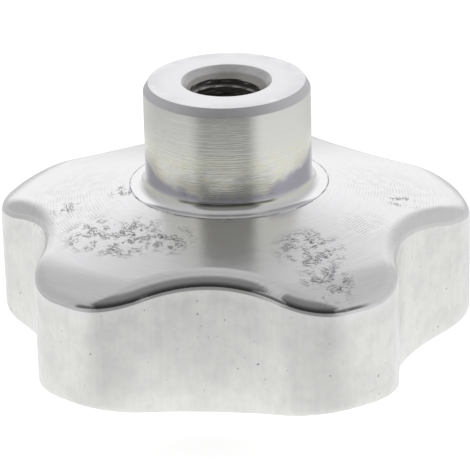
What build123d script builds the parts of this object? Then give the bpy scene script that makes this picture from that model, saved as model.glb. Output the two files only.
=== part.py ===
"""Star knob in polished cast aluminium: one piece, with a turned hub and a blind tapped hole.

The knob stands on the small flat of its domed crown with the hub up.  Z runs along the
axis of the hub, out of the tapped hole, and the origin is on that axis where the wall of
the hole starts, at the foot of its countersink.  All sizes are in millimetres.
"""
from build123d import *
from math import asin, cos, degrees, radians, sin, sqrt, tan
import os

# Star: the grip that the fingers turn
star_radius = 25.0  # axis to the tip of a lobe
lobe_count = 5
scallop_radius = 13.5  # radius of each finger scallop
scallop_depth = 5.5  # from the circle round the lobe tips
lobe_corner_radius = 6.8  # rounds each lobe into the scallops beside it
least_tip_angle = 1.0  # degrees of arc that the corners leave at the tip of a lobe
first_scallop_angle = -90.0  # degrees from +X

# Heights, measured from the flat of the crown until the knob is placed
hub_face_height = 29.8
land_height = 18.77  # the turned land round the foot of the hub

# Crown: the domed side that faces away from the hub
crown_dome_radius = 98.0
crown_flat_radius = 6.0  # small flat in the middle, on which the knob stands
crown_edge_chamfer = 0.5

# Shoulder: the cast surface between the hub and the side wall
shoulder_slope = 13.0  # degrees below horizontal
shoulder_bend_width = 3.8  # band inside the lobe tips where the shoulder bends down
shoulder_bend_radius = 8.5
shoulder_edge_radius = 1.5

# Hub: turned, with a small chamfer round its face
hub_radius = 8.5
hub_foot_width = 1.45  # the foot is a parabola, tangent to the land and to the hub
hub_foot_height = 1.45
hub_land_width = 1.6  # hub wall to the crisp outer edge of the turned land
hub_chamfer_width = 0.5
hub_chamfer_height = 0.85

# Blind tapped hole, M8, drilled at the tapping size
tap_drill_radius = 3.4
countersink_width = 1.25  # from the wall of the hole out to its mouth
countersink_angle = 90.0  # degrees, included
hole_depth = 16.0  # hub face to the end of the full diameter
drill_point_angle = 118.0  # degrees, included

# How far one shape runs into or past another that it trims or joins
overlap = 1.0


def turned(*edges):
    """Solid of revolution about Z, from edges drawn as (distance from axis, height)."""
    section = Plane.XZ * make_face(edges)
    seam_angle = first_scallop_angle + 180.0 / lobe_count
    return Rot(0, 0, seam_angle) * revolve(section, Axis.Z)


def crown():
    """Ball that domes the crown, lying on its side so that its poles are clear of the knob."""
    flat_rise = crown_dome_radius - sqrt(crown_dome_radius**2 - crown_flat_radius**2)
    ball = Rot(90, 0, 0) * Sphere(crown_dome_radius)
    return Pos(0, 0, crown_dome_radius - flat_rise) * ball


def casting():
    """Domed crown and bent shoulder, before the star is cut from them."""
    slope = radians(shoulder_slope)
    land_radius = hub_radius + hub_land_width
    cone_radius = star_radius - shoulder_bend_width
    cone_fall = (cone_radius - land_radius) * tan(slope)
    cone = Line((land_radius, land_height), (cone_radius, land_height - cone_fall))

    rim_radius = star_radius + overlap
    rim_slope = asin(sin(slope) + (rim_radius - cone_radius) / shoulder_bend_radius)
    bend_angle = degrees(rim_slope - slope)
    bend = JernArc(cone @ 1, cone % 1, shoulder_bend_radius, -bend_angle)

    rest = Polyline(cone @ 0, (0, land_height), (0, 0), (rim_radius, 0), bend @ 1)
    return turned(cone, bend, rest) & crown()


def corner_radius(centre_distance):
    """Radius of the lobe corners, which a narrow lobe limits to keep an arc at its tip."""
    spread = cos(radians(180.0 / lobe_count - least_tip_angle / 2))
    slack = 2 * (star_radius + scallop_radius - centre_distance * spread)
    reach = star_radius**2 + centre_distance**2 - scallop_radius**2
    widest = (reach - 2 * star_radius * centre_distance * spread) / slack
    return min(lobe_corner_radius, widest)


def star():
    """Side wall of the grip, upright: lobes and scallops, with rounded corners."""
    centre_distance = star_radius - scallop_depth + scallop_radius
    scallops = PolarLocations(centre_distance, lobe_count, start_angle=first_scallop_angle)
    outline = Circle(star_radius) - scallops * Circle(scallop_radius)
    outline = fillet(outline.vertices(), corner_radius(centre_distance))
    return extrude(outline, land_height)


def grip():
    """The casting cut to the star, with the upper rim rounded and the crown's rim chamfered."""
    whole = casting()
    wall = star()
    body = whole & wall
    rims = new_edges(whole, wall, combined=body)
    middle = body.center().Z
    upper_rim = rims.filter_by(lambda edge: edge.center().Z > middle)
    lower_rim = rims.filter_by(lambda edge: edge.center().Z < middle)
    body = body.fillet(shoulder_edge_radius, upper_rim)
    return body.chamfer(crown_edge_chamfer, None, lower_rim)


def hub():
    """Turned hub: land, foot fillet, wall and chamfered face."""
    foot = Bezier(
        (hub_radius, land_height + hub_foot_height),
        (hub_radius, land_height),
        (hub_radius + hub_foot_width, land_height),
    )
    rest = Polyline(
        foot @ 0,
        (hub_radius, hub_face_height - hub_chamfer_height),
        (hub_radius - hub_chamfer_width, hub_face_height),
        (0, hub_face_height),
        (0, land_height - overlap),
        (hub_radius, land_height - overlap),
        foot @ 1,
    )
    return turned(foot, rest)


def countersink_depth():
    """Distance from the hub face down to where the wall of the hole starts."""
    return countersink_width / tan(radians(countersink_angle / 2))


def tapped_hole():
    """What the countersink, the tapping drill and its point take out."""
    hole_end_height = hub_face_height - hole_depth
    drill_point_length = tap_drill_radius / tan(radians(drill_point_angle / 2))
    return turned(
        Polyline(
            (0, hub_face_height),
            (tap_drill_radius + countersink_width, hub_face_height),
            (tap_drill_radius, hub_face_height - countersink_depth()),
            (tap_drill_radius, hole_end_height),
            (0, hole_end_height - drill_point_length),
            (0, hub_face_height),
        )
    )


knob = grip() + hub() - tapped_hole()
star_knob = Pos(0, 0, countersink_depth() - hub_face_height) * knob

os.makedirs("parts", exist_ok=True)
export_step(star_knob, "parts/star_knob.step")
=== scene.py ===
from math import cos, pi, radians, sin, tan
import bpy
import numpy as np
from mathutils import Matrix, Vector


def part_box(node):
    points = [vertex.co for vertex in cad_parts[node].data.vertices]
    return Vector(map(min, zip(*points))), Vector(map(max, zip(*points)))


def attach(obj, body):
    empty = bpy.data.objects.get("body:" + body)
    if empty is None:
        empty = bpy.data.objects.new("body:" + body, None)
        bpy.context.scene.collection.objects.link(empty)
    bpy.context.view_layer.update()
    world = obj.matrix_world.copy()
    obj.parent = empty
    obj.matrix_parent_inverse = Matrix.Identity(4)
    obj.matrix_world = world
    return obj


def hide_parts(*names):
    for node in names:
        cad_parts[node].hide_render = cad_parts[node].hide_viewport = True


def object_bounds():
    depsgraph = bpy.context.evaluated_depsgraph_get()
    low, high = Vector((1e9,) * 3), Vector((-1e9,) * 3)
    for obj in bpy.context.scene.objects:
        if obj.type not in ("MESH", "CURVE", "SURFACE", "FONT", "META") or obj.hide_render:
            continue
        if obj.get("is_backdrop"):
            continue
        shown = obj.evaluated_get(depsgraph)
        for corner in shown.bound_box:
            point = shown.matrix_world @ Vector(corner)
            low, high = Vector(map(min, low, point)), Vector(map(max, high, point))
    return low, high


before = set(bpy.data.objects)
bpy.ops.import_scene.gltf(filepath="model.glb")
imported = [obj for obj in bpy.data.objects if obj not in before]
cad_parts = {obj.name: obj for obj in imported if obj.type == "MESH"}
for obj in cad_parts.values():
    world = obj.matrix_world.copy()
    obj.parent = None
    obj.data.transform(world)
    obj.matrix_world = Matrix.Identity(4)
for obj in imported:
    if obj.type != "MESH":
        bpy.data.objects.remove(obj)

mm = 0.001
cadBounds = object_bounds()
cadLow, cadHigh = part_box("star_knob")
hubFaceHeight = cadHigh.z / mm
crownHeight = cadLow.z / mm
scene = bpy.context.scene
scene.view_settings.view_transform = "Standard"


class Value:
    # wraps a number socket, so that shader maths reads as plain arithmetic
    def __init__(self, tree, socket):
        self.tree = tree
        self.socket = socket

    def maths(self, operation, *others):
        inputs = dict(enumerate((self, *others)))
        return self.tree.node("ShaderNodeMath", {"operation": operation}, inputs)

    def __add__(self, other):
        return self.maths("ADD", other)

    def __radd__(self, other):
        return self.maths("ADD", other)

    def __sub__(self, other):
        return self.maths("SUBTRACT", other)

    def __rsub__(self, other):
        return self.tree.node("ShaderNodeMath", {"operation": "SUBTRACT"}, {0: other, 1: self})

    def __mul__(self, other):
        return self.maths("MULTIPLY", other)

    def __rmul__(self, other):
        return self.maths("MULTIPLY", other)

    def __truediv__(self, other):
        return self.maths("DIVIDE", other)

    def __pow__(self, other):
        return self.maths("POWER", other)

    def sine(self):
        return self.maths("SINE")

    def size(self):
        return self.maths("ABSOLUTE")

    def atLeast(self, other):
        return self.maths("MAXIMUM", other)

    def atMost(self, other):
        return self.maths("MINIMUM", other)

    def blend(self, other, share):
        return self + (other - self) * share

    def between(self, first, second):
        # first where this value is 0, second where it is 1
        return self * (second - first) + first

    def ramp(self, start, end):
        # smooth step from 0 at start to 1 at end, and the other way when start is above end
        low, high = min(start, end), max(start, end)
        inputs = {"Value": self, "From Min": low, "From Max": high}
        step = self.tree.node("ShaderNodeMapRange", {"interpolation_type": "SMOOTHSTEP"}, inputs)
        return step if start < end else 1 - step


class Tree:
    # one node tree: node() adds any node from its type, its settings and its socket values
    def __init__(self, nodeTree):
        self.nodeTree = nodeTree
        nodeTree.nodes.clear()

    def node(self, kind, settings=None, inputs=None, output=0):
        made = self.nodeTree.nodes.new(kind)
        for name, setting in (settings or {}).items():
            setattr(made, name, setting)
        for name, given in (inputs or {}).items():
            socket = made.inputs[name]
            if isinstance(given, Value):
                self.nodeTree.links.new(given.socket, socket)
            else:
                socket.default_value = given
        return Value(self, made.outputs[output]) if made.outputs else None

    def parts(self, vector):
        first = self.node("ShaderNodeSeparateXYZ", None, {"Vector": vector})
        return [Value(self, socket) for socket in first.socket.node.outputs]

    def vector(self, x, y, z):
        return self.node("ShaderNodeCombineXYZ", None, {0: x, 1: y, 2: z})

    def scaled(self, vector, scale):
        inputs = {"Vector": vector, "Scale": (scale, scale, scale)}
        return self.node("ShaderNodeMapping", None, inputs)

    def noise(self, parts, scales, detail, roughness):
        # noise with a scale of its own along each of the three parts of a place
        place = self.vector(*(part * scale for part, scale in zip(parts, scales)))
        inputs = {"Vector": place, "Scale": 1.0, "Detail": detail, "Roughness": roughness}
        return self.node("ShaderNodeTexNoise", None, inputs)

    def mixed(self, factor, first, second):
        settings = {"data_type": "RGBA"}
        return self.node("ShaderNodeMix", settings, {0: factor, 6: first, 7: second}, 2)


# Shape of the knob, in millimetres
star = {
    "radius": 24.999,           # axis to the tip of a lobe
    "lobes": 5,
    "scallopRadius": 13.5,
    "scallopDepth": 5.5,
    "cornerRadius": 6.8,
    "firstScallop": -90.0,      # degrees from +X
}
grip = {
    "landDepth": 11.03,         # below the hub face
    "landRadius": 10.1,
    "shoulderSlope": 13.0,      # degrees
    "bendWidth": 3.8,
    "bendRadius": 8.5,
    "steepest": 0.98,           # sine of the steepest slope that the bend can reach
    "shoulderEdge": 1.9,
    "domeRadius": 98.0,
    "flatRadius": 6.0,
    "crownEdge": 0.7,
    "wallLean": 0.1,            # how far the wall leans in at the crown
}
hub = {
    "radius": 8.5,
    "foot": 1.45,
    "chamferWidth": 0.5,
    "chamferHeight": 0.85,
    "edge": 0.22,               # rounding between chamfer and wall
    "faceEdge": 0.08,
    # crisp edge of the turned land: out from its radius, and up
    "lip": ((0.03, -0.064), (-0.01, 0.016), (-0.08, 0.012)),
}
hole = {
    "radius": 3.4,
    "countersink": 1.25,
    "mouthEdge": 0.05,
    "depth": 16.0,
    "pointAngle": 118.0,
    "pitch": 1.25,
    "threadDepth": 0.55,
    "rootWidth": 0.15,
    "flankWidth": 0.34,
    "runOut": 1.5,              # the thread fades over this height and ends as far from the end
    "joinRadius": 4.22,         # in the countersink, where the rows of the thread take over
    "joinDepth": 0.45,
    "fineDepth": 4.6,           # down to here the rows are close together
    "fineStep": 0.1,
}
grid = {                        # rows of the surface in each part, and columns round it
    "halfColumns": 37,          # from the middle of a scallop to the tip of a lobe
    "pole": 0.15,               # radius of the ring round the crown's pole
    "flat": 5,
    "dome": 22,
    "crownRim": 7,
    "wall": 10,
    "shoulderRim": 15,
    "shoulder": 40,
    "shoulderPower": 1.15,      # above 1 the rows crowd towards the rim
    "shoulderEnd": 0.1,         # outside the land
    "foot": 14,
    "corner": 4,
    "longestStep": 0.75,        # along the hub's profile
    "deepThread": 66,
    "rimRounds": 30,            # rounds in which the rolling ball settles
    "sharpAngle": 24.0,         # degrees
}
land = hubFaceHeight - grip["landDepth"]
bendStart = star["radius"] - grip["bendWidth"]


def outline():
    # walks the star at even steps: concave scallop arc, convex corner arc and tip arc,
    # mirrored about each lobe and each scallop; gives points and outward normals
    pitch = pi / star["lobes"]
    centreDistance = star["radius"] - star["scallopDepth"] + star["scallopRadius"]
    cornerDistance = star["radius"] - star["cornerRadius"]
    reach = star["scallopRadius"] + star["cornerRadius"]
    cosine = cornerDistance**2 + centreDistance**2 - reach**2
    cornerAngle = np.arccos(cosine / (2 * cornerDistance * centreDistance))
    corner = cornerDistance * np.array((cos(cornerAngle), sin(cornerAngle)))
    scallopAngle = np.arctan2(corner[1], centreDistance - corner[0])
    scallopLength = star["scallopRadius"] * scallopAngle
    cornerLength = star["cornerRadius"] * (scallopAngle + cornerAngle)
    tipLength = star["radius"] * (pitch - cornerAngle)
    cornerEnd = scallopLength + cornerLength

    # even steps along each half sector, every second one walked backwards
    station = np.arange(2 * star["lobes"] * grid["halfColumns"]) / grid["halfColumns"]
    half = np.floor(station).astype(int)
    mirrored = half % 2 == 1
    along = np.where(mirrored, half + 1 - station, station - half) * (cornerEnd + tipLength)
    side = np.where(mirrored, -1.0, 1.0)

    # the outward normal turns evenly along each arc, and the point follows from it
    onScallop = along < scallopLength
    onCorner = ~onScallop & (along < cornerEnd)
    scallopTurn = -np.minimum(along, scallopLength) / star["scallopRadius"]
    cornerTurn = (along - scallopLength) / star["cornerRadius"] - scallopAngle
    tipTurn = (along - cornerEnd) / star["radius"] + cornerAngle
    turn = np.select([onScallop, onCorner], [scallopTurn, cornerTurn], tipTurn)
    normal = np.stack([np.cos(turn), np.sin(turn)], 1)
    scallopPoint = np.array((centreDistance, 0.0)) - star["scallopRadius"] * normal
    cornerPoint = corner + star["cornerRadius"] * normal
    point = np.where(onScallop[:, None], scallopPoint, star["radius"] * normal)
    point = np.where(onCorner[:, None], cornerPoint, point)

    # turn each half sector round to its place
    axis = radians(star["firstScallop"]) + 2 * pitch * ((half + 1) // 2)
    turned = []
    for pair in (point, normal):
        x = pair[:, 0] * np.cos(axis) - side * pair[:, 1] * np.sin(axis)
        y = pair[:, 0] * np.sin(axis) + side * pair[:, 1] * np.cos(axis)
        turned.append(np.stack([x, y], 1))
    return turned


def shoulder(radius):
    # height and steepness of the cast shoulder: a cone, then a round bend downwards
    slope = radians(grip["shoulderSlope"])
    cone = land - (radius - grip["landRadius"]) * tan(slope)
    bendHeight = land - (bendStart - grip["landRadius"]) * tan(slope)
    lean = sin(slope) + (radius - bendStart) / grip["bendRadius"]
    lean = np.clip(lean, sin(slope), grip["steepest"])
    upright = np.sqrt(1 - lean**2)
    bend = bendHeight - grip["bendRadius"] * (cos(slope) - upright)
    return np.where(radius < bendStart, cone, bend), lean / upright


def crown(radius):
    # height and steepness of the crown: a ball with a small flat on which the knob stands
    centreHeight = np.sqrt(grip["domeRadius"]**2 - grip["flatRadius"]**2)
    reach = np.sqrt(grip["domeRadius"]**2 - radius**2)
    return crownHeight + np.maximum(centreHeight - reach, 0.0), radius / reach


def roundedRim(edge, normal, surface, up, radius, steps):
    # a ball rolled along the corner between the upright wall and a surface above or below it:
    # each row of the rim is an arc of the ball, from the wall round to the surface
    middle = edge - radius * normal
    touch = middle
    for _ in range(grid["rimRounds"]):
        distance = np.linalg.norm(touch, axis=1)
        height, steepness = surface(distance)
        tilt = touch * (steepness / distance)[:, None]
        length = np.sqrt(1 + steepness**2)
        touch = middle + radius * tilt / length[:, None]
    facing = np.concatenate([tilt, np.full((len(edge), 1), up)], 1) / length[:, None]
    centre = np.concatenate([middle, (height - radius * up / length)[:, None]], 1)
    outward = np.concatenate([normal, np.zeros((len(edge), 1))], 1)
    angle = np.arccos((outward * facing).sum(1))[None, :, None]
    share = np.linspace(0, 1, steps)[:, None, None]
    swept = np.sin((1 - share) * angle) * outward + np.sin(share * angle) * facing
    return centre + radius * swept / np.sin(angle), touch


def carried(start, end, surface, steps, power=1.0):
    # rows that run in plan from one line to another and take their height from the surface
    share = np.linspace(0, 1, steps)[:, None, None] ** power
    plan = (1 - share) * start + share * end
    height = surface(np.linalg.norm(plan, axis=2))[0]
    return np.concatenate([plan, height[:, :, None]], 2)


def rounded(points, radii):
    # softens the corners of a profile: each corner becomes an arc between its two sides
    path = [points[:1]]
    for before, corner, after, radius in zip(points, points[1:], points[2:], radii):
        entry = (before - corner) / np.linalg.norm(before - corner)
        leave = (after - corner) / np.linalg.norm(after - corner)
        half = np.arccos(entry @ leave) / 2
        setback = radius / tan(half)
        centre = corner + (entry + leave) / np.linalg.norm(entry + leave) * radius / sin(half)
        first = corner + entry * setback - centre
        last = corner + leave * setback - centre
        share = np.linspace(0, 1, grid["corner"])[:, None]
        sweep = np.arccos(first @ last / radius**2)
        arc = (np.sin((1 - share) * sweep) * first + np.sin(share * sweep) * last) / sin(sweep)
        path.append(centre + arc)
    path.append(points[-1:])
    return np.concatenate(path)


def subdivided(profile, longestStep):
    rows = [profile[:1]]
    for start, end in zip(profile, profile[1:]):
        count = max(1, int(np.ceil(np.linalg.norm(end - start) / longestStep)))
        rows.append(start + (end - start) * np.linspace(0, 1, count + 1)[1:, None])
    return np.concatenate(rows)


def hubProfile():
    # (distance from the axis, height) from the edge of the land up the hub and over its face
    # into the countersink; the foot is a parabola, tangent to the land and to the hub
    lip = np.array([(grip["landRadius"] + out, land + up) for out, up in hub["lip"]])
    footStart = np.array((hub["radius"] + hub["foot"], land))
    footCorner = np.array((hub["radius"], land))
    footEnd = np.array((hub["radius"], land + hub["foot"]))
    share = np.linspace(0, 1, grid["foot"])[:, None]
    foot = (1 - share)**2 * footStart + 2 * share * (1 - share) * footCorner + share**2 * footEnd
    corners = np.array([
        footEnd,
        (hub["radius"], hubFaceHeight - hub["chamferHeight"]),
        (hub["radius"] - hub["chamferWidth"], hubFaceHeight),
        (hole["radius"] + hole["countersink"], hubFaceHeight),
        (hole["radius"], hubFaceHeight - hole["countersink"]),
    ])
    upper = rounded(corners, (hub["edge"], hub["faceEdge"], hole["mouthEdge"]))
    upper = subdivided(upper, grid["longestStep"])
    profile = np.concatenate([lip, foot, upper[1:]])
    return profile[profile[:, 0] > hole["joinRadius"]]


def turnedRows(profile, around):
    # the profile swept round the axis
    height = np.broadcast_to(profile[:, None, 1:], (len(profile), len(around), 1))
    return np.concatenate([profile[:, None, :1] * around, height], 2)


def threadedRows(around):
    # the wall of the hole: a groove of V form whose height climbs evenly with the angle, one
    # pitch a turn, and which fades out before the end of the hole
    near = np.arange(hole["joinDepth"], hole["fineDepth"], hole["fineStep"])
    deep = np.linspace(hole["fineDepth"], hole["depth"], grid["deepThread"])
    depth = np.concatenate([near, deep])[:, None]
    angle = np.arctan2(around[:, 1], around[:, 0])
    turns = (-depth / hole["pitch"] - angle / (2 * pi)) % 1.0
    away = np.abs(turns - 0.5) * hole["pitch"]
    groove = (hole["rootWidth"] / 2 + hole["flankWidth"] - away) / hole["flankWidth"]
    fade = np.clip((hole["depth"] - hole["runOut"] - depth) / hole["runOut"], 0, 1)
    wall = hole["radius"] + hole["threadDepth"] * np.clip(groove, 0, 1) * fade
    sink = hole["radius"] + hole["countersink"] - depth
    radius = np.maximum(wall, sink)
    height = np.broadcast_to(hubFaceHeight - depth, radius.shape)
    return np.stack([radius * around[:, 0], radius * around[:, 1], height], 2)


def fromAxis(points):
    # unit vectors from the axis towards the points
    return points / np.linalg.norm(points, axis=1)[:, None]


def knobRows():
    # one closed surface: its rows run from the middle of the crown out to the wall, up it and
    # in over the shoulder, up the hub and down the hole to the tip that the drill's point
    # leaves, and its columns run once round the star
    edge, normal = outline()
    lowEdge = edge - grip["wallLean"] * normal
    crownRim, crownTouch = roundedRim(
        lowEdge, normal, crown, -1.0, grip["crownEdge"], grid["crownRim"])
    shoulderRim, shoulderTouch = roundedRim(
        edge, normal, shoulder, 1.0, grip["shoulderEdge"], grid["shoulderRim"])

    around = fromAxis(crownTouch)
    flatEdge = grip["flatRadius"] * around
    flat = carried(grid["pole"] * around, flatEdge, crown, grid["flat"])
    dome = carried(flatEdge, crownTouch, crown, grid["dome"])
    share = np.linspace(0, 1, grid["wall"])[:, None, None]
    wall = (1 - share) * crownRim[0] + share * shoulderRim[0]

    around = fromAxis(shoulderTouch)
    landEdge = (grip["landRadius"] + grid["shoulderEnd"]) * around
    cast = carried(shoulderTouch, landEdge, shoulder, grid["shoulder"], grid["shoulderPower"])
    turned = turnedRows(hubProfile(), around)
    bore = threadedRows(around)
    parts = [flat, dome[1:], crownRim[-2::-1], wall[1:], shoulderRim[1:], cast[1:], turned, bore]
    print("rows of the knob:", [len(part) for part in parts])

    pointLength = hole["radius"] / tan(radians(hole["pointAngle"] / 2))
    bottom = (0, 0, crownHeight)
    drillTip = (0, 0, hubFaceHeight - hole["depth"] - pointLength)
    return np.concatenate(parts), bottom, drillTip


def surfaceMesh(name, rows, bottom, top):
    # joins a grid of rows, closed round in columns, with a pole at each end
    count, columns = rows.shape[:2]
    points = np.concatenate([rows.reshape(-1, 3), [bottom, top]]) * mm
    row, column = np.meshgrid(np.arange(count - 1), np.arange(columns), indexing="ij")
    after = (column + 1) % columns
    corners = [row * columns + column, row * columns + after]
    corners += [(row + 1) * columns + after, (row + 1) * columns + column]
    quads = np.stack(corners, 2).reshape(-1, 4)
    ring = np.arange(columns)
    following = (ring + 1) % columns
    lowPole = np.full(columns, count * columns)
    last = (count - 1) * columns
    lowFan = np.stack([following, ring, lowPole], 1)
    highFan = np.stack([last + ring, last + following, lowPole + 1], 1)
    mesh = bpy.data.meshes.new(name)
    mesh.from_pydata(points, [], quads.tolist() + lowFan.tolist() + highFan.tolist())
    mesh.validate()
    mesh.shade_smooth()
    mesh.set_sharp_from_angle(angle=radians(grid["sharpAngle"]))
    return mesh


def addPiece(name, mesh):
    piece = bpy.data.objects.new(name, mesh)
    scene.collection.objects.link(piece)
    return piece


def addKnob():
    knob = addPiece("polished_star_knob", surfaceMesh("polished_star_knob", *knobRows()))
    knob.data.materials.append(aluminium())
    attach(knob, "root")
    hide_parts("star_knob")
    print("knob:", len(knob.data.polygons), "faces")


# Polished aluminium
colours = {
    "cast": (0.895, 0.885, 0.905, 1.0),
    "wall": (0.905, 0.915, 0.885, 1.0),
    "turned": (0.90, 0.905, 0.865, 1.0),
    "tarnish": (0.93, 0.93, 0.76, 1.0),     # faint yellow low on the hub
    "stain": (0.55, 0.54, 0.60, 1.0),       # dull metal at the foot of the hub
    "dull": (0.45, 0.45, 0.45, 1.0),
    # painted shade inside the hole
    "bore": (0.42, 0.41, 0.39, 1.0),
    # colour of the pits, also used for the painted shade line in the crease at the land's edge
    "pitAndCreaseShade": (0.10, 0.10, 0.12, 1.0),
}
roughness = {
    "wall": 0.23,
    "cast": 0.20,
    "turned": 0.15,
    "rim": 0.11,
    "chamfer": 0.6,
    "bore": 0.35,
    "unevenness": 0.12,
}
regionEdges = {                 # where each region starts and where it is full, in millimetres
    "land": (10.15, 10.0),      # from the axis
    "hub": (9.0, 8.7),
    "mouth": (4.68, 4.6),
    "thread": (4.1, 3.9),
    "chamferTop": (7.95, 8.05),
    "hubFoot": (-0.4, -0.2),    # above the land
    "hubTop": (-0.75, -0.95),   # above the hub face
    "chamferFoot": (-0.95, -0.8),
    "holeMouth": (-0.02, -0.08),
    "holeEnd": (-24.0, -22.0),  # height
    "hubSide": (-20.0, -18.0),
    "top": (1.9, 0.8),          # below the shoulder
    "rimTop": (0.1, 0.5),
    "rimFoot": (2.6, 1.6),
    "bendFall": 0.077,          # of the shoulder's bend, times the square of its width
}
strength = {                    # how much each mark shows, first as relief, then as colour
    "relief": 0.012,            # millimetres, of a full mark
    "castRings": 0.55,
    "wallBrushing": 0.35,
    "toolMarks": 0.6,
    "pits": 2.5,
    "pitColour": 0.95,
    "specks": 0.8,
    "strayPits": 0.9,
    # dark line at the land's edge: a slight dip, and painted shade in the crease
    "groove": 0.6,
    "tarnish": 0.6,
    "faceStain": 0.25,
    "browStain": 0.25,
    "footStain": 0.15,          # what is left of the stain in the fillet below it
    "clouds": 0.13,
    "patches": 0.06,
    "brushing": 0.05,
    "rings": 0.10,
    "toolMarkColour": 0.28,
    # the next two darken the hole with painted shade: in patches over the bore, and fully on the
    # thread
    "boreRings": 0.8,
    "thread": 0.7,
}
marks = {
    "toolMarkPitch": 0.31,      # millimetres between the arcs left by the turning tool
    "toolMarkWaver": 2.0,
    "toolMarkPatches": (0.35, 0.6),
    "crackWidth": (0.032, 0.014),
    "specks": (0.60, 0.66),
    "clumps": (0.46, 0.56),
    "strayPits": (0.735, 0.765),
    "nickHeights": (-26.0, -27.6),      # more stray pits near the crown's rim
    "nicks": 0.05,
    # the next three place the dark line at the land's edge: a slight dip with painted shade in the
    # crease
    "grooveShadeOffset": 0.05,       # outside the land
    "groove": (0.16, 0.04),
    "grooveShadeGaps": (0.42, 0.62),
    "stainHeights": (-6.4, -7.4),
    "stainRise": 3.0,           # millimetres, from the front round to the sides
    "stainWaver": 2.5,
    "filletHeights": (-9.1, -8.5),
    "stainEdge": (9.3, 8.9),    # from the axis
    "browRadii": (5.6, 7.9),
    "browDepths": (-0.12, -0.04),
    "browPatches": (0.38, 0.6),
    "faceDepths": (-0.9, -0.75),
    "tarnishHeights": (-2.5, -5.0),
    "tarnishEdge": (8.8, 8.6),
    "tarnishPatches": (0.38, 0.58),
    "dullClouds": (0.38, 0.66),
    "dullPatches": (0.4, 0.65),
    "dullBrushing": (0.4, 0.65),
    "dullRings": (0.4, 0.7),
    "spotCore": 0.35,           # share of a spot's reach where it is full
}
# noises of the metal: scale along each part of the place, detail and roughness; the place is
# distance from the axis and direction for the first three, and x, y and z for the others
ringGrain = {
    "rings": ((8.0, 6.0, 6.0), 3.0, 0.65),
    "winding": ((3.6, 15.0, 15.0), 4.0, 0.75),
    "dots": ((4.5, 34.0, 34.0), 2.0, 0.5),
}
placeGrain = {
    "lines": ((0.14, 0.14, 8.0), 3.0, 0.65),
    "brushing": ((2.5, 2.5, 0.16), 3.0, 0.6),
    "clouds": ((0.35, 0.35, 0.35), 3.0, 0.55),
    "patches": ((0.9, 0.9, 0.9), 4.0, 0.6),
    "stray": ((2.6, 2.6, 2.6), 2.0, 0.5),
}
noiseMiddle = 0.5
pittedSpots = (                 # x, y and reach in millimetres, seen from the hub side
    (-9.0, -12.5, 4.5),
    (-12.5, -11.0, 4.0),
    (-4.5, -13.5, 3.0),
    (9.5, -14.0, 4.5),
    (11.5, -18.5, 3.5),
    (-10.6, -2.6, 1.8),
    (-16.6, -4.0, 2.0),
    (17.8, -0.5, 2.0),
)
toolMarkSpots = (
    (-16.0, 0.5, 6.5),
    (-14.5, -7.0, 5.0),
    (16.5, 3.0, 7.0),
    (14.5, -7.5, 4.0),
)


def spots(x, y, places):
    # soft round patches; where they overlap the strongest one counts
    strongest = 0.0
    for across, along, reach in places:
        away = ((x - across)**2 + (y - along)**2) ** 0.5
        strongest = away.ramp(reach, reach * marks["spotCore"]).atLeast(strongest)
    return strongest


def regions(radius, z):
    # masks by place: turned hub, hole, cast top with its rim, and upright wall
    edges = regionEdges
    depth = z - hubFaceHeight
    bend = (radius - bendStart).atLeast(0) ** 2 * edges["bendFall"]
    cone = land - (radius - grip["landRadius"]) * tan(radians(grip["shoulderSlope"]))
    below = cone - z - bend
    turned = radius.ramp(*edges["land"]) * (z - land).ramp(*edges["hubFoot"])
    bore = radius.ramp(*edges["mouth"]) * z.ramp(*edges["holeEnd"])
    bore = bore * depth.ramp(*edges["holeMouth"])
    casting = (1 - turned) * (1 - bore)
    top = below.ramp(*edges["top"]) * casting
    return {
        "turned": turned,
        "bore": bore,
        "thread": bore * radius.ramp(*edges["thread"]),
        "top": top,
        "rim": below.ramp(*edges["rimTop"]) * below.ramp(*edges["rimFoot"]) * casting,
        "side": (1 - top) * casting,
        "chamfer": turned * depth.ramp(*edges["chamferFoot"]) * radius.ramp(*edges["chamferTop"]),
        "hubWall": turned * radius.ramp(*edges["hub"]) * depth.ramp(*edges["hubTop"]),
        "hubSide": z.ramp(*edges["hubSide"]),
    }


def grain(tree, x, y, z, radius):
    # noise drawn out the way that the tool or the polishing wheel went, and rounder patches
    noise = {}
    for name, (scales, detail, rough) in ringGrain.items():
        noise[name] = tree.noise((radius, x / radius, y / radius), scales, detail, rough)
    for name, (scales, detail, rough) in placeGrain.items():
        noise[name] = tree.noise((x, y, z), scales, detail, rough)
    return noise


def pitsAndCreaseShade(x, y, z, radius, zone, noise):
    # thin winding cracks and specks in clusters, stray pits on the wall, and the broken dark line
    # at the edge of the land: a slight dip in relief, and painted shade in the crease there
    cracks = (noise["winding"] - noiseMiddle).size().ramp(*marks["crackWidth"])
    specks = noise["dots"].ramp(*marks["specks"]) * strength["specks"]
    clumps = noise["patches"].ramp(*marks["clumps"]) * spots(x, y, pittedSpots)
    pits = (cracks.atLeast(specks) * clumps * zone["top"] * zone["hubSide"]).atMost(1.0)
    stray = noise["stray"] + z.ramp(*marks["nickHeights"]) * marks["nicks"]
    stray = stray.ramp(*marks["strayPits"]) * zone["side"] * strength["strayPits"]
    # painted shade in the crease at the land's edge, with a slight dip in relief
    groove = (radius - grip["landRadius"] - marks["grooveShadeOffset"]).size().ramp(*marks["groove"])
    groove = groove * zone["hubSide"] * (1 - zone["bore"])
    groove = groove * noise["rings"].ramp(*marks["grooveShadeGaps"]) * strength["groove"]
    return pits.atLeast(stray).atLeast(groove)


def turningMarks(x, y, radius, zone, noise):
    # arcs round the axis, in patches on the cast top
    wave = radius * (2 * pi / marks["toolMarkPitch"]) + noise["clouds"] * marks["toolMarkWaver"]
    arcs = (wave.sine() + 1) / 2 * spots(x, y, toolMarkSpots)
    arcs = arcs * noise["patches"].ramp(*marks["toolMarkPatches"])
    return arcs * zone["top"] * zone["hubSide"]


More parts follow.
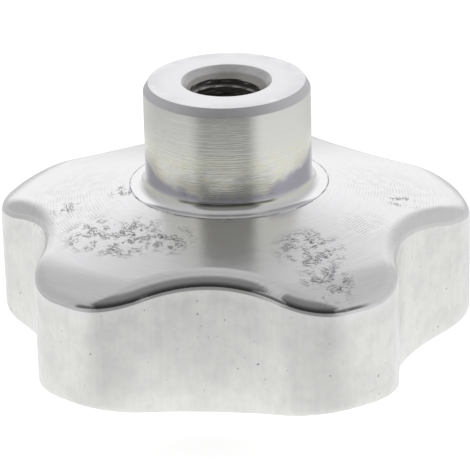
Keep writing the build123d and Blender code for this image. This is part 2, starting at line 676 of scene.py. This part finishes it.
def staining(y, z, radius, zone, noise):
    # dull metal round the foot of the hub, higher at its sides, and over its face
    depth = z - hubFaceHeight
    foot = z + noise["clouds"] * marks["stainWaver"] - (y / radius + 1) * marks["stainRise"]
    fillet = z.ramp(*marks["filletHeights"]).between(strength["footStain"], 1.0)
    foot = foot.ramp(*marks["stainHeights"]) * fillet * radius.ramp(*marks["stainEdge"])
    brow = radius.ramp(*marks["browRadii"]) * depth.ramp(*marks["browDepths"])
    brow = brow * noise["clouds"].ramp(*marks["browPatches"])
    face = depth.ramp(*marks["faceDepths"]) * strength["faceStain"]
    return zone["turned"] * (foot + brow * strength["browStain"] + face)


def dulling(zone, noise, arcs):
    # uneven polish
    side = noise["clouds"].ramp(*marks["dullClouds"]) * strength["clouds"]
    side = side + noise["patches"].ramp(*marks["dullPatches"]) * strength["patches"]
    side = side + noise["brushing"].ramp(*marks["dullBrushing"]) * strength["brushing"]
    top = noise["rings"].ramp(*marks["dullRings"]) * strength["rings"]
    return side * zone["side"] + top * zone["top"] + arcs * strength["toolMarkColour"]


def aluminium():
    material = bpy.data.materials.new("polished_aluminium")
    material.use_nodes = True
    tree = Tree(material.node_tree)
    place = tree.scaled(tree.node("ShaderNodeTexCoord", output="Object"), 1 / mm)
    x, y, z = tree.parts(place)
    radius = (x * x + y * y) ** 0.5
    zone = regions(radius, z)
    noise = grain(tree, x, y, z, radius)
    # pits also carries the painted shade line in the crease at the land's edge
    pits = pitsAndCreaseShade(x, y, z, radius, zone, noise)
    arcs = turningMarks(x, y, radius, zone, noise)

    height = noise["rings"] * zone["top"] * strength["castRings"] + noise["lines"] * zone["turned"]
    height = height + noise["brushing"] * zone["side"] * strength["wallBrushing"]
    height = height + noise["rings"] * zone["bore"]
    height = height - pits * strength["pits"] + arcs * strength["toolMarks"]
    bump = {"Height": height, "Distance": strength["relief"] * mm, "Strength": 1.0}

    rough = zone["top"].between(roughness["wall"], roughness["cast"])
    for name in ("rim", "turned", "chamfer", "bore"):
        rough = rough.blend(roughness[name], zone[name])
    rough = rough + (noise["patches"] - noiseMiddle) * roughness["unevenness"]

    polished = (zone["top"] + zone["turned"]).atMost(1)
    tarnished = noise["patches"].ramp(*marks["tarnishPatches"]) * z.ramp(*marks["tarnishHeights"])
    tarnished = tarnished * radius.ramp(*marks["tarnishEdge"]) * zone["turned"]
    # painted shade inside the hole: patchy darkening over the countersink and bore, and the
    # threaded wall darkened throughout
    holeShade = zone["bore"] * noise["rings"] * strength["boreRings"]
    holeShade = holeShade + zone["thread"] * strength["thread"]
    colour = tree.mixed(polished, colours["wall"], colours["cast"])
    colour = tree.mixed(zone["hubWall"], colour, colours["turned"])
    colour = tree.mixed(tarnished * strength["tarnish"], colour, colours["tarnish"])
    colour = tree.mixed(staining(y, z, radius, zone, noise), colour, colours["stain"])
    colour = tree.mixed(dulling(zone, noise, arcs), colour, colours["dull"])
    # painted shade in the hole
    colour = tree.mixed(holeShade, colour, colours["bore"])
    # dark pits, and the painted shade line at the land's edge
    colour = tree.mixed(pits * strength["pitColour"], colour, colours["pitAndCreaseShade"])
    inputs = {
        "Base Color": colour,
        "Metallic": 1.0,
        "Roughness": rough,
        "Normal": tree.node("ShaderNodeBump", None, bump),
    }
    shade = tree.node("ShaderNodeBsdfPrincipled", None, inputs)
    tree.node("ShaderNodeOutputMaterial", None, {"Surface": shade})
    return material


camera = {
    "elevation": 22.771,        # degrees above the horizon
    "turn": 6.2,                # degrees round from -Y towards +X
    "roll": -1.432,
    "distance": 412.81,         # from the middle of the hub face
    "across": -0.4667,          # of the hub face from the middle of the frame
    "above": 15.672,
    "lens": 312.7,
    "sensor": 36.0,
    "nearest": 0.01,            # metres
}


def addCamera():
    tilt, roll, turn = (radians(camera[name]) for name in ("elevation", "roll", "turn"))
    right = Vector((1, 0, 0))
    up = Vector((0, sin(tilt), cos(tilt)))
    ahead = Vector((0, cos(tilt), -sin(tilt)))
    place = -camera["across"] * right - camera["above"] * up - camera["distance"] * ahead
    rolledRight = cos(roll) * right + sin(roll) * up
    rolledUp = cos(roll) * up - sin(roll) * right
    axes = Matrix((rolledRight, rolledUp, -ahead)).transposed().to_4x4()
    swing = Matrix.Rotation(turn, 4, "Z")
    lens = bpy.data.cameras.new("camera")
    lens.lens = camera["lens"]
    lens.sensor_width = camera["sensor"]
    lens.clip_start = camera["nearest"]
    made = bpy.data.objects.new("camera", lens)
    hubFace = Vector((0, 0, hubFaceHeight * mm))
    made.matrix_world = Matrix.Translation(hubFace + swing @ (place * mm)) @ swing @ axes
    scene.collection.objects.link(made)
    scene.camera = made


# Studio: pale walls, brightest behind the knob, with a tall dark opening in front.  Angles
# are in degrees, levels run from 0 to 1, and pairs say where a change starts and ends.
studio = {
    "front": -83.8,             # from +X
    "openingLeft": -42.0,       # from the front
    "openingRight": 34.0,
    "openingSoftness": 1.0,
    "openingTop": (75.0, 65.0),     # above the horizon
    "openingWidens": 10.0,      # on each side, higher up
    "openingWidening": (14.0, 26.0),
    "opening": 0.03,
    "openingLift": 0.18,        # the opening is less dark higher up
    "openingLiftRise": (8.0, 42.0),
    "openingCrown": 0.22,
    "openingCrownRise": (50.0, 75.0),
    "skirt": 0.13,              # low dim screens beside the opening
    "skirtWidth": 28.0,
    "skirtSoftness": 4.0,
    "skirtTop": (22.0, 12.0),
    "left": 0.5,
    "right": 0.6,
    "leftToRight": (-10.0, 10.0),
    "back": 1.0,
    "backTurn": (132.0, 168.0),
    "high": 0.55,
    "highRise": (28.0, 52.0),
    "zenith": 0.48,
    "zenithRise": (68.0, 84.0),
    "tint": (1.0, 1.0, 0.995, 1.0),
}
# Floor: white to look at; in the metal it shows as a pale round table in a darker room.
# Lengths are in millimetres from the axis.
table = {
    "sides": 0.84,
    "front": 0.66,
    "frontSoftness": 12.0,
    "near": 0.9,
    "nearEdge": (40.0, 22.0),
    "edge": (62.0, 66.0),
    "beyondFront": 0.28,
    "beyondLeft": 0.52,
    "beyondRight": 0.68,
    "far": 0.62,
    "farEdge": (180.0, 500.0),
    "backTurn": (100.0, 150.0),
    "glow": (0.66, 0.66, 0.66, 1.0),    # the part of its white that takes no shadow
    "paint": (0.9, 0.9, 0.9, 1.0),
    "gap": 0.02,                # under the knob
    "halfWidth": 2000.0,
}
black = (0.0, 0.0, 0.0, 1.0)
white = (1.0, 1.0, 1.0, 1.0)


def bearing(tree, vector):
    # degrees round from the front of the studio, positive towards the right
    x, y, _ = tree.parts(vector)
    front = radians(studio["front"])
    ahead = x * cos(front) + y * sin(front)
    right = y * cos(front) - x * sin(front)
    return right.maths("ARCTAN2", ahead) * (180 / pi)


def inFront(turn, softness, widening=0.0):
    # 1 within the dark opening
    left, right = studio["openingLeft"], studio["openingRight"]
    afterLeft = (turn + widening).ramp(left - softness, left + softness)
    beforeRight = (turn - widening).ramp(right + softness, right - softness)
    return afterLeft * beforeRight


def addWorld():
    world = bpy.data.worlds.new("studio")
    scene.world = world
    world.use_nodes = True
    tree = Tree(world.node_tree)
    direction = tree.node("ShaderNodeTexCoord", output="Generated")
    turn = bearing(tree, direction)
    rise = tree.parts(direction)[2].maths("ARCSINE") * (180 / pi)
    level = turn.ramp(*studio["leftToRight"]).between(studio["left"], studio["right"])
    level = level.blend(studio["back"], turn.size().ramp(*studio["backTurn"]))
    level = level.blend(studio["high"], rise.ramp(*studio["highRise"]))
    skirt = inFront(turn, studio["skirtSoftness"], studio["skirtWidth"])
    level = level.blend(studio["skirt"], skirt * rise.ramp(*studio["skirtTop"]))
    dark = rise.ramp(*studio["openingLiftRise"]) * studio["openingLift"] + studio["opening"]
    dark = dark + rise.ramp(*studio["openingCrownRise"]) * studio["openingCrown"]
    wider = rise.ramp(*studio["openingWidening"]) * studio["openingWidens"]
    opening = inFront(turn, studio["openingSoftness"], wider) * rise.ramp(*studio["openingTop"])
    level = level.blend(dark, opening)
    level = level.blend(studio["zenith"], rise.ramp(*studio["zenithRise"]))
    mirrored = tree.mixed(level, black, studio["tint"])
    seen = tree.node("ShaderNodeLightPath", output="Is Camera Ray")
    colour = tree.mixed(seen, mirrored, white)
    shade = tree.node("ShaderNodeBackground", None, {"Color": colour})
    tree.node("ShaderNodeOutputWorld", None, {"Surface": shade})


def floorMaterial():
    material = bpy.data.materials.new("white_floor")
    material.use_nodes = True
    tree = Tree(material.node_tree)
    place = tree.scaled(tree.node("ShaderNodeTexCoord", output="Object"), 1 / mm)
    x, y, _ = tree.parts(place)
    distance = (x * x + y * y) ** 0.5
    turn = bearing(tree, place)
    front = inFront(turn, table["frontSoftness"])
    inner = front.between(table["sides"], table["front"])
    inner = inner.blend(table["near"], distance.ramp(*table["nearEdge"]))
    beyond = turn.ramp(*studio["leftToRight"]).between(table["beyondLeft"], table["beyondRight"])
    beyond = beyond.blend(table["beyondFront"], front)
    beyond = beyond.blend(table["far"], distance.ramp(*table["farEdge"]) * (1 - front))
    beyond = beyond.blend(table["far"], turn.size().ramp(*table["backTurn"]))
    level = inner.blend(beyond, distance.ramp(*table["edge"]))
    mirrored = tree.mixed(level, black, studio["tint"])
    seen = tree.node("ShaderNodeLightPath", output="Is Camera Ray")
    inputs = {
        "Base Color": tree.mixed(seen, black, table["paint"]),
        "Emission Color": tree.mixed(seen, mirrored, table["glow"]),
        "Emission Strength": 1.0,
        "Roughness": 1.0,
        "Specular IOR Level": 0.0,
    }
    shade = tree.node("ShaderNodeBsdfPrincipled", None, inputs)
    # seen from below the floor is clear, so that the crown can be looked at
    below = tree.node("ShaderNodeNewGeometry", output="Backfacing")
    clear = tree.node("ShaderNodeBsdfTransparent")
    shade = tree.node("ShaderNodeMixShader", None, {0: below, 1: shade, 2: clear})
    tree.node("ShaderNodeOutputMaterial", None, {"Surface": shade})
    return material


def addFloor():
    half = table["halfWidth"] * mm
    low = cadLow.z - table["gap"] * mm
    corners = [(-half, -half, low), (half, -half, low), (half, half, low), (-half, half, low)]
    mesh = bpy.data.meshes.new("floor")
    mesh.from_pydata(corners, [], [(0, 1, 2, 3)])
    floor = addPiece("floor", mesh)
    floor.data.materials.append(floorMaterial())
    floor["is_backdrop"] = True


addKnob()
addCamera()
print("camera done")
addWorld()
addFloor()
print("studio done")

sizes = {"cad": cadBounds, "visual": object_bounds()}
sizes = {name: [list(corner) for corner in corners] for name, corners in sizes.items()}
